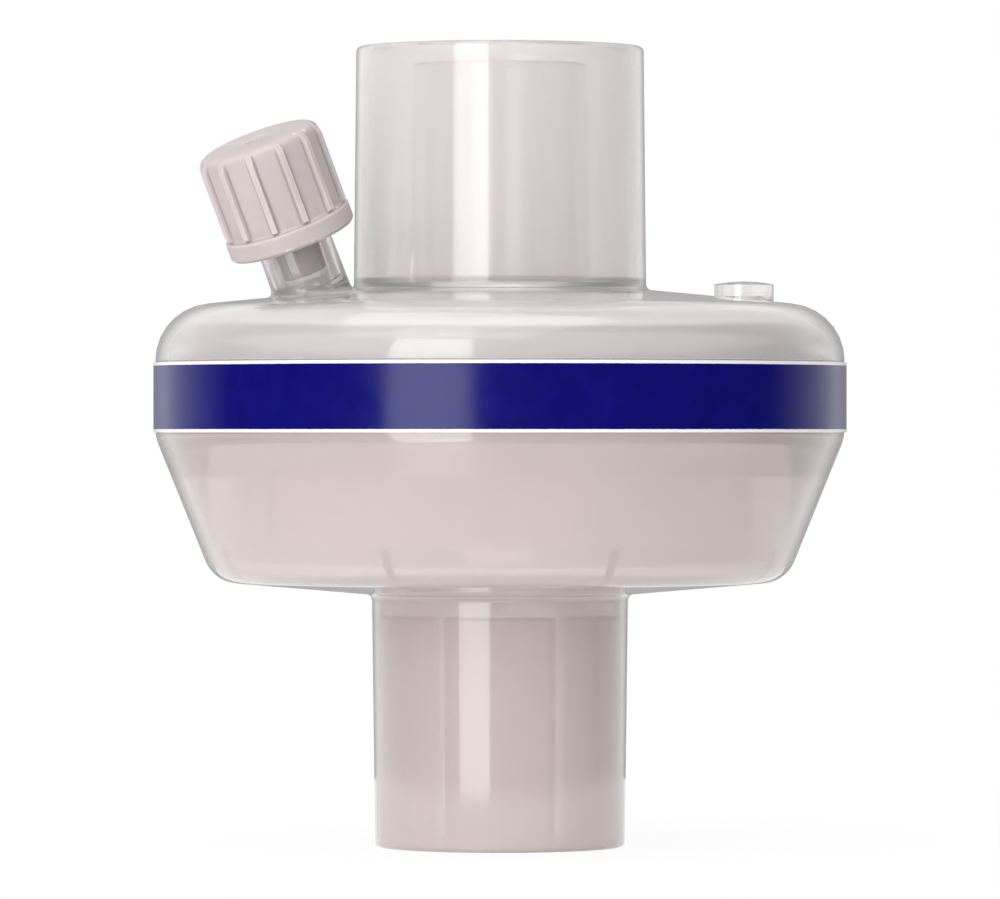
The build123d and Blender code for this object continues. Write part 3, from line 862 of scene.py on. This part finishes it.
class FILTER_OT_upper_housing(bpy.types.Operator):
    """Build the domed upper housing with its ports."""

    bl_idname = "filter.upper_housing"
    bl_label = "Upper housing"

    def execute(self, context):
        scene = context.scene
        body = scene.filter_body
        ports = scene.filter_ports
        port = scene.filter_sampling
        shape = BodyShape(scene)
        edge = body.edge_rounding
        socket_floor = shape.dome_root + ports.socket_rise
        socket_depth = shape.top - socket_floor
        tube_tip = shape.top - ports.tube_recess
        bore = ports.male_15_tip - ports.tube_wall
        profile = [
            (shape.spigot, shape.pad_top, edge * 2),
            (shape.spigot, shape.seam, edge),
            (body.belt_radius, shape.seam, edge / 2),
            (body.belt_radius, shape.shoulder, shape.shoulder_rounding),
            (shape.upper_root, shape.dome_root, body.root_rounding),
            (shape.upper_tip, shape.top, ports.rim_rounding),
            (ports.female_22_mouth + ports.mouth_chamfer, shape.top, edge),
            (ports.female_22_mouth, shape.top - ports.mouth_chamfer, edge),
            (ports.female_22_mouth - socket_depth * shape.taper, socket_floor, 0.4 * MM),
            (ports.male_15_tip + (tube_tip - socket_floor) * shape.taper, socket_floor, 0.4 * MM),
            (ports.male_15_tip, tube_tip, ports.rim_rounding),
            (bore, tube_tip, edge * 2),
            (bore, shape.ceiling_height(bore), edge * 2),
            (shape.spigot_inner, shape.ceiling_height(shape.spigot_inner), 2.4 * MM),
            (shape.spigot_inner, shape.pad_top, edge * 2),
        ]
        piece = object_from(lathe(outline(profile)), "upper_housing_shell")
        combine(piece, object_from(self.barrel(scene, shape), "barrel"), "UNION")
        combine(piece, object_from(self.boss(port, shape), "boss"), "UNION")
        combine(piece, object_from(self.sampling_bore(scene), "bore"), "DIFFERENCE")
        combine(piece, object_from(self.boss_core(port, shape), "boss_core"), "DIFFERENCE")
        smooth(piece)
        finish = clear_plastic(scene.filter_colours, shape)
        settle(piece, "upper_housing", HOUSING_BODY, finish)
        return {"FINISHED"}

    def barrel(self, scene, shape):
        """Leaning barrel with its two lugs, whose foot flows out into the dome."""
        port = scene.filter_sampling
        matrix = sampling_matrix(scene)
        fillet = port.barrel_fillet
        embedded = 0.9 * MM
        mesh = bmesh.new()

        def dome_point(azimuth, radius):
            """Height of the dome's surface under a point that far from the barrel's axis."""
            low, high = -6 * MM, 6 * MM
            for _ in range(40):
                middle = (low + high) / 2
                point = matrix @ polar(radius, azimuth, middle)
                if point.z > shape.dome_height(math.hypot(point.x, point.y)):
                    high = middle
                else:
                    low = middle
            return low

        lug_bottom = port.barrel_height - port.lug_height + 0.02 * MM
        lug_top = port.barrel_height - 0.1 * MM
        columns = []
        for azimuth in even_turn(BARREL_SEGMENTS):
            root = dome_point(azimuth, port.barrel_root)
            spread = dome_point(azimuth, port.barrel_root + fillet)
            column = [
                (port.barrel_root * 0.5, root - embedded),
                (port.barrel_root + fillet * 1.02, spread - 0.35 * MM),
            ]
            start = Vector((port.barrel_root + fillet, spread - 0.004 * MM))
            knee = Vector((port.barrel_root, root))
            end = Vector((port.barrel_root, root + fillet))
            for step in range(9):
                along = step / 8
                bend = knee * 2 * along * (1 - along)
                point = start * (1 - along) ** 2 + bend + end * along**2
                column.append((point.x, point.y))
            across = abs(math.sin(azimuth)) * port.lug_span / 2
            reach = port.lug_span / 2 if across <= port.lug_width / 2 else port.barrel_tip
            column += [
                (port.barrel_tip + 0.02 * MM, lug_bottom - 0.25 * MM),
                (reach, lug_bottom),
                (reach, lug_top),
                (reach - 0.1 * MM, port.barrel_height),
            ]
            columns.append([mesh.verts.new(matrix @ polar(r, azimuth, h)) for r, h in column])
        top = mesh.verts.new(matrix @ Vector((0, 0, port.barrel_height)))
        bottom = mesh.verts.new(matrix @ Vector((0, 0, -embedded)))
        for here, there in zip(columns, columns[1:] + columns[:1]):
            for level in range(len(here) - 1):
                mesh.faces.new([here[level], there[level], there[level + 1], here[level + 1]])
            mesh.faces.new([here[-1], there[-1], top])
            mesh.faces.new([there[0], here[0], bottom])
        bmesh.ops.recalc_face_normals(mesh, faces=mesh.faces)
        return mesh

    def boss_place(self, port, shape):
        """Distance of the boss from the axis, and the height of its top corner."""
        distance = shape.body_radius - port.boss_inset
        return distance, shape.dome_height(distance) + port.boss_rise

    def boss(self, port, shape):
        """Blanked boss with a bulging top."""
        distance, corner = self.boss_place(port, shape)
        foot = shape.ceiling_height(distance) + shape.dome_thickness / 2
        profile = outline([(0, foot, 0), (port.boss_radius, foot, 0)])
        steps = 10
        for step in range(steps + 1):
            out = 1 - step / steps
            bulge = port.boss_crown * (1 - out**2)
            profile.append(Vector((port.boss_radius * out, corner + bulge)))
        return lathe(profile, even_turn(BOSS_SEGMENTS), Matrix.Translation((distance, 0, 0)))

    def sampling_bore(self, scene):
        """Tapered bore and passage of the sampling port."""
        port = scene.filter_sampling
        bottom = port.barrel_height - port.bore_depth
        small = port.mouth - port.bore_depth * port.bore_taper / 2
        edge = 0.12 * MM
        below = -2.6 * MM
        above = port.barrel_height + 0.1 * MM
        profile = [
            (0, below, 0),
            (port.passage, below, 0),
            (port.passage, bottom, edge),
            (small, bottom, edge * 2),
            (port.mouth, port.barrel_height - 0.15 * MM, 0),
            (port.mouth + 0.25 * MM, above, 0),
            (0, above, 0),
        ]
        return lathe(outline(profile, steps=4), even_turn(BORE_SEGMENTS), sampling_matrix(scene))

    def boss_core(self, port, shape):
        """Hollow under the blanked boss."""
        distance, corner = self.boss_place(port, shape)
        top = corner + port.boss_crown - port.boss_roof
        bottom = top - 2 * shape.dome_thickness
        radius = port.boss_core
        profile = [(0, bottom, 0), (radius, bottom, 0), (radius, top, 0.25 * MM), (0, top, 0)]
        place = Matrix.Translation((distance, 0, 0))
        return lathe(outline(profile, steps=4), even_turn(CORE_SEGMENTS), place)


class FILTER_OT_filter_pad(bpy.types.Operator):
    """Build the felt pad."""

    bl_idname = "filter.filter_pad"
    bl_label = "Filter pad"

    def execute(self, context):
        scene = context.scene
        body = scene.filter_body
        inner = scene.filter_inner
        shape = BodyShape(scene)
        radius = shape.rim_inner - inner.pad_clearance
        top = shape.pad_seat + inner.pad_thickness
        soft = inner.pad_rounding
        foot = shape.spigot_inner - soft
        rise = inner.pad_thickness - body.pad_rim
        corners = [
            (0, shape.pad_seat, 0),
            (radius * 0.5, shape.pad_seat, 0),
            (radius, shape.pad_seat, 0.2 * MM),
            (radius, shape.pad_top - 0.02 * MM, 0.2 * MM),
            (foot, shape.pad_top, 0.5 * MM),
            (foot - rise, top, soft),
        ]
        rings = 22
        start = foot - rise - 2 * soft
        corners += [(start * (1 - ring / rings), top, 0) for ring in range(rings)]
        corners.append((0, top, 0))
        mesh = lathe(outline(corners, steps=5), even_turn(PAD_SEGMENTS))
        piece = object_from(mesh, "felt_pad")
        for vertex in piece.data.vertices:
            if vertex.co.z > shape.pad_top + 0.3 * MM:
                waves = noise.fractal(vertex.co * 220, 1.0, 2.0, 3)
                vertex.co.z += 0.12 * MM * (waves - 0.6)
        smooth(piece, limit=60)
        settle(piece, "filter_pad", HOUSING_BODY, felt(scene.filter_colours))
        return {"FINISHED"}


class FILTER_OT_paper_roll(bpy.types.Operator):
    """Build the wound roll of lined and fluted paper."""

    bl_idname = "filter.paper_roll"
    bl_label = "Paper roll"

    def execute(self, context):
        scene = context.scene
        inner = scene.filter_inner
        shape = BodyShape(scene)
        low = shape.roll_seat
        high = shape.pad_seat
        pitch = inner.flute_height + inner.liner
        turns = (shape.roll_radius - inner.liner - inner.roll_core) / pitch
        mesh = bmesh.new()
        liner = self.winding(inner, pitch, turns, fluted=False)
        flutes = self.winding(inner, pitch, turns - 1, fluted=True)
        self.strip(mesh, liner, inner.paper, low, high)
        self.strip(mesh, flutes, inner.paper, low, high - 0.05 * MM)
        piece = object_from(mesh, "wound_paper_roll")
        smooth(piece, limit=50)
        settle(piece, "paper_roll", HOUSING_BODY, roll_paper(scene.filter_colours))
        return {"FINISHED"}

    def winding(self, inner, pitch, turns, fluted):
        """Middle line of the liner or of the fluted strip, from the core outward."""
        points = []
        travelled = 0
        turned = math.pi / 2 if fluted else 0
        step = 0.22 * MM if fluted else 0.5 * MM
        while turned < turns * 2 * math.pi:
            radius = inner.roll_core + pitch * turned / (2 * math.pi)
            if fluted:
                swing = math.sin(2 * math.pi * travelled / inner.flute_pitch)
                radius += inner.flute_height / 2 * (1 + 0.9 * swing)
            else:
                radius -= inner.liner / 2
            points.append(Vector((radius * math.cos(turned), radius * math.sin(turned))))
            turned += step / max(radius, 1 * MM)
            travelled += step
        return points

    def strip(self, mesh, points, thickness, low, high):
        """Upright strip of paper along a line."""
        sections = []
        last = len(points) - 1
        for index, point in enumerate(points):
            along = (points[min(index + 1, last)] - points[max(index - 1, 0)]).normalized()
            side = Vector((-along.y, along.x)) * thickness / 2
            one, other = point + side, point - side
            corners = ((one, low), (other, low), (other, high), (one, high))
            sections.append([mesh.verts.new((*place, height)) for place, height in corners])
        sweep(mesh, sections)


class FILTER_OT_sampling_cap(bpy.types.Operator):
    """Build the ribbed cap of the sampling port."""

    bl_idname = "filter.sampling_cap"
    bl_label = "Sampling port cap"

    def execute(self, context):
        scene = context.scene
        port = scene.filter_sampling
        matrix = sampling_matrix(scene, port.barrel_height - port.cap_cover)
        mesh = lathe(self.profile(port), self.azimuths(port), matrix, self.relief(port))
        piece = object_from(mesh, "ribbed_cap")
        smooth(piece, limit=32)
        settle(piece, "luer_cap", CAP_BODY, cap_plastic(scene.filter_colours))
        return {"FINISHED"}

    def radii(self, port):
        """Radii of bore, wall and ribs, and the depth inside."""
        bore = port.lug_span / 2 + port.cap_clearance
        wall = bore + port.cap_wall
        return bore, wall, wall + port.cap_relief, port.cap_height - port.cap_roof

    def profile(self, port):
        """Outline of the cap from the plug's tip round to the middle of its top."""
        bore, wall, rib, depth = self.radii(port)
        height = port.cap_height
        edge = 0.12 * MM
        taper = port.bore_taper / 2
        tip = port.mouth - (port.cap_cover + port.plug_reach) * taper - port.plug_clearance
        points = outline(
            [
                (0, -port.plug_reach, 0),
                (tip, -port.plug_reach, 0.3 * MM),
                (tip + (depth + port.plug_reach) * taper, depth, 0.3 * MM),
                (bore, depth, 0.4 * MM),
            ],
            steps=4,
        )[:-1]
        rows = 40
        for row in range(rows + 1):
            drop = (depth - 0.9 * MM) * row / rows
            points.append(Vector((bore, depth - 0.6 * MM - drop)))
        band = port.collar_height - port.collar_chamfer
        lead_in = outline(
            [
                (bore, 0.3 * MM, 0),
                (bore + 0.25 * MM, 0, edge),
                (rib - port.collar_chamfer, 0, edge),
                (rib, port.collar_chamfer, edge),
                *[(rib, port.collar_chamfer + band * row / 7, 0) for row in range(1, 6)],
                (rib, port.collar_height, 0.2 * MM),
                (wall, port.collar_height, edge),
                (wall, height, 0),
                (bore, height, 0),
            ],
            steps=4,
        )
        points += lead_in[1:-2]
        start = height - port.cap_rounding
        rows = 5
        low = port.collar_height + 0.3 * MM
        points += [Vector((wall, low + (start - low) * row / rows)) for row in range(rows)]
        steps = 14
        for step in range(steps + 1):
            turn = math.pi / 2 * step / steps
            reach = rib - port.cap_rounding * (1 - math.cos(turn))
            points.append(Vector((reach, start + port.cap_rounding * math.sin(turn))))
        points += outline(
            [
                (bore, height, 0),
                (port.dimple_radius + 0.2 * MM, height, 0.1 * MM),
                (port.dimple_radius, height - port.dimple_depth, 0.15 * MM),
                (0, height - port.dimple_depth, 0),
            ],
            steps=3,
        )[1:]
        return points

    def azimuths(self, port):
        """Azimuths close together on the flanks of each rib and spread over its panels."""
        rib = self.radii(port)[2]
        half = port.rib_width / 2 / rib
        flank = 0.05 * MM / rib
        cell = 2 * math.pi / port.ribs
        steps = 14
        room = cell - 2 * half - 3 * flank
        panel = [half + flank * 1.5 + room * step / steps for step in range(steps + 1)]
        crest = [-half, -half + flank, -half * 0.4, half * 0.4, half - flank, half]
        middles = [port.rib_phase + index * cell for index in range(port.ribs)]
        return [middle + turn for middle in middles for turn in crest + panel]

    def relief(self, port):
        """Radius on ribs and panels outside, and on the thread inside."""
        bore, wall, rib, depth = self.radii(port)
        cell = 2 * math.pi / port.ribs
        top_start = port.cap_height - port.cap_rounding
        flank_share = 0.72
        lead = port.thread_lead / 2
        crest_half, flank, fade = 0.62 * MM, 0.3 * MM, 0.5 * MM

        def panel_radius(turn):
            """Radius between two ribs, flattened towards the middle of the panel."""
            off_middle = cell / 2 - abs(turn)
            flat = wall * math.cos(cell / 2) / math.cos(off_middle)
            return wall + (flat - wall) * port.panel_flatness

        def crest(turn):
            """Share of the rib's height at an angle from its middle."""
            off = abs(turn) * rib - port.rib_width / 2
            if off > 0.01 * MM:
                return 0.0
            return 1.0 if off < -0.04 * MM else flank_share

        def thread(height, azimuth):
            """Height of the two-start thread inside the skirt."""
            along = (height / lead - azimuth / math.pi + 0.35) % 1
            rise = max(0.0, min(1.0, (crest_half - abs(along - 0.5) * lead) / flank))
            ends = min(1.0, (height - 0.3 * MM) / fade, (depth - 1.6 * MM - height) / fade)
            return port.thread_depth * rise * max(0.0, ends)

        def radius_at(radius, height, azimuth):
            """Radius of the cap's surface where its outline has a radius and height."""
            if abs(radius - bore) < 0.001 * MM and 0.3 * MM < height < depth - 0.5 * MM:
                return bore - thread(height, azimuth)
            if radius < bore + 0.3 * MM or height < port.collar_height + 0.15 * MM:
                return radius
            turn = (azimuth - port.rib_phase + cell / 2) % cell - cell / 2
            envelope = rib if height <= top_start else radius
            panel = panel_radius(turn)
            gap = envelope - panel
            blend = 0.45 * MM
            if gap < blend:
                near = max(0.0, blend - abs(gap)) / blend
                panel = min(panel, envelope) - near * near * blend / 4
            if not crest(turn):
                return panel
            return max(panel, min(envelope, wall + (rib - wall) * crest(turn)))

        return radius_at


class FILTER_OT_label(bpy.types.Operator):
    """Wrap the printed band around the belt."""

    bl_idname = "filter.label"
    bl_label = "Printed band"

    def execute(self, context):
        scene = context.scene
        inner = scene.filter_inner
        shape = BodyShape(scene)
        bottom = shape.label_bottom
        top = shape.label_top
        inside = scene.filter_body.belt_radius + inner.label_gap
        whole = 2 * math.pi + inner.label_lap
        ramp = math.radians(1.5)
        edge = 0.03 * MM
        mesh = bmesh.new()
        sections = []
        for segment in range(LABEL_SEGMENTS + 1):
            turned = whole * segment / LABEL_SEGMENTS
            over = max(0.0, min(1.0, (turned - 2 * math.pi + ramp) / ramp))
            low = inside + over * inner.label_thickness * 1.02
            high = low + inner.label_thickness
            azimuth = inner.label_seam - inner.label_lap / 2 + turned
            section = (
                (low, bottom),
                (high - edge, bottom),
                (high, bottom + edge),
                (high, top - edge),
                (high - edge, top),
                (low, top),
            )
            sections.append([mesh.verts.new(polar(radius, azimuth, z)) for radius, z in section])
        sweep(mesh, sections)
        piece = object_from(mesh, "printed_band")
        smooth(piece)
        finish = label_film(scene.filter_colours, inner, shape)
        settle(piece, "label_band", HOUSING_BODY, finish)
        return {"FINISHED"}


class FILTER_OT_stage(bpy.types.Operator):
    """Set up the floor, lamps, surround and camera."""

    bl_idname = "filter.stage"
    bl_label = "Stage"

    def execute(self, context):
        scene = context.scene
        stage = scene.filter_stage
        self.floor(scene)
        self.surround(scene, stage)
        self.lamp(scene, "key", KEY_PLACE, KEY_SIZE, stage.key_power)
        self.lamp(scene, "top", TOP_PLACE, TOP_SIZE, stage.top_power)
        self.camera(scene, stage)
        scene.view_settings.view_transform = "Standard"
        return {"FINISHED"}

    def floor(self, scene):
        """Round floor, small enough that lamps reflect in the lower port."""
        mesh = bmesh.new()
        middle = Matrix.Translation(FLOOR_CENTRE)
        bmesh.ops.create_circle(
            mesh, cap_ends=True, segments=FLOOR_SEGMENTS, radius=FLOOR_RADIUS, matrix=middle
        )
        floor = object_from(mesh, "floor")
        floor.data.materials.append(stage_floor(scene.filter_colours))

    def surround(self, scene, stage):
        """White to the camera and behind the filter, dimmer as light from the front and right."""
        world = bpy.data.worlds.new("surround")
        scene.world = world
        world.use_nodes = True
        made = Nodes(world.node_tree)
        direction = made.node("ShaderNodeTexCoord").outputs["Generated"]
        ahead = made.split(direction, "Y")
        left, right = stage.surround_left, stage.surround_right
        side = made.range(made.split(direction, "X"), -1, 1, left, right)
        behind = made.range(ahead, 0.2, 0.85, 0, 1)
        rays = made.node("ShaderNodeLightPath").outputs

        def background(strength):
            """White background of a strength."""
            shader = made.node("ShaderNodeBackground")
            made.put(shader.inputs["Color"], (1, 1, 1))
            made.put(shader.inputs["Strength"], strength)
            return shader.outputs["Background"]

        def backed(front_share, back_level):
            """Bright behind the filter and a share of the side light in front of it."""
            level = made.node("ShaderNodeMix", data_type="FLOAT")
            made.put(level.inputs["Factor"], behind)
            made.put(level.inputs["A"], made.math("MULTIPLY", side, front_share))
            made.put(level.inputs["B"], made.range(ahead, 0.84, 0.96, 1, back_level))
            return background(level.outputs["Result"])

        shown = made.blend(rays["Is Glossy Ray"], background(side), backed(stage.gloss_front, 0.4))
        shown = made.blend(rays["Is Transmission Ray"], shown, backed(stage.glass_front, 1))
        shown = made.blend(rays["Is Camera Ray"], shown, background(1))
        made.put(made.node("ShaderNodeOutputWorld").inputs["Surface"], shown)

    def lamp(self, scene, name, place, size, power):
        """Rectangular soft lamp that faces the filter's middle."""
        data = bpy.data.lights.new(name, "AREA")
        data.shape = "RECTANGLE"
        data.size, data.size_y = size
        data.energy = power
        lamp = bpy.data.objects.new(name, data)
        lamp.location = place
        aim = Vector(LAMP_AIM) - Vector(place)
        lamp.rotation_euler = aim.to_track_quat("-Z", "Y").to_euler()
        scene.collection.objects.link(lamp)

    def camera(self, scene, stage):
        """Level camera in front of the filter."""
        data = bpy.data.cameras.new("camera")
        data.sensor_width = SENSOR_WIDTH
        data.lens = SENSOR_WIDTH * stage.camera_distance / stage.view_width
        data.shift_y = (stage.view_centre - stage.camera_height) / stage.view_width
        camera = bpy.data.objects.new("camera", data)
        camera.location = (0, -stage.camera_distance, stage.camera_height)
        camera.rotation_euler = (math.pi / 2, 0, 0)
        scene.collection.objects.link(camera)
        scene.camera = camera


class FILTER_PT_panel(bpy.types.Panel):
    """Sizes, colours and build steps of the filter."""

    bl_label = "Breathing circuit filter"
    bl_idname = "FILTER_PT_panel"
    bl_space_type = "VIEW_3D"
    bl_region_type = "UI"
    bl_category = "Filter"

    def draw(self, context):
        scene = context.scene
        for name in SETTINGS:
            group = getattr(scene, name)
            box = self.layout.box()
            for key in group.bl_rna.properties.keys():
                if key not in ("rna_type", "name"):
                    box.prop(group, key)
        for operator in OPERATORS:
            self.layout.operator(operator.bl_idname)


SETTINGS = {
    "filter_body": FilterBodySizes,
    "filter_ports": ConePortSizes,
    "filter_sampling": SamplingPortSizes,
    "filter_inner": InnerSizes,
    "filter_colours": FinishColours,
    "filter_stage": StageSettings,
}

OPERATORS = (
    FILTER_OT_lower_housing,
    FILTER_OT_upper_housing,
    FILTER_OT_filter_pad,
    FILTER_OT_paper_roll,
    FILTER_OT_sampling_cap,
    FILTER_OT_label,
    FILTER_OT_stage,
)


def register():
    """Register the settings, operators and panel."""
    for name, group in SETTINGS.items():
        bpy.utils.register_class(group)
        setattr(bpy.types.Scene, name, PointerProperty(type=group))
    for operator in OPERATORS:
        bpy.utils.register_class(operator)
    bpy.utils.register_class(FILTER_PT_panel)


def unregister():
    """Remove the panel, operators and settings."""
    bpy.utils.unregister_class(FILTER_PT_panel)
    for operator in reversed(OPERATORS):
        bpy.utils.unregister_class(operator)
    for name, group in reversed(SETTINGS.items()):
        delattr(bpy.types.Scene, name)
        bpy.utils.unregister_class(group)


def main():
    """Build every piece and the stage."""
    register()
    for operator in OPERATORS:
        group, name = operator.bl_idname.split(".")
        getattr(getattr(bpy.ops, group), name)()


if __name__ == "__main__":
    main()
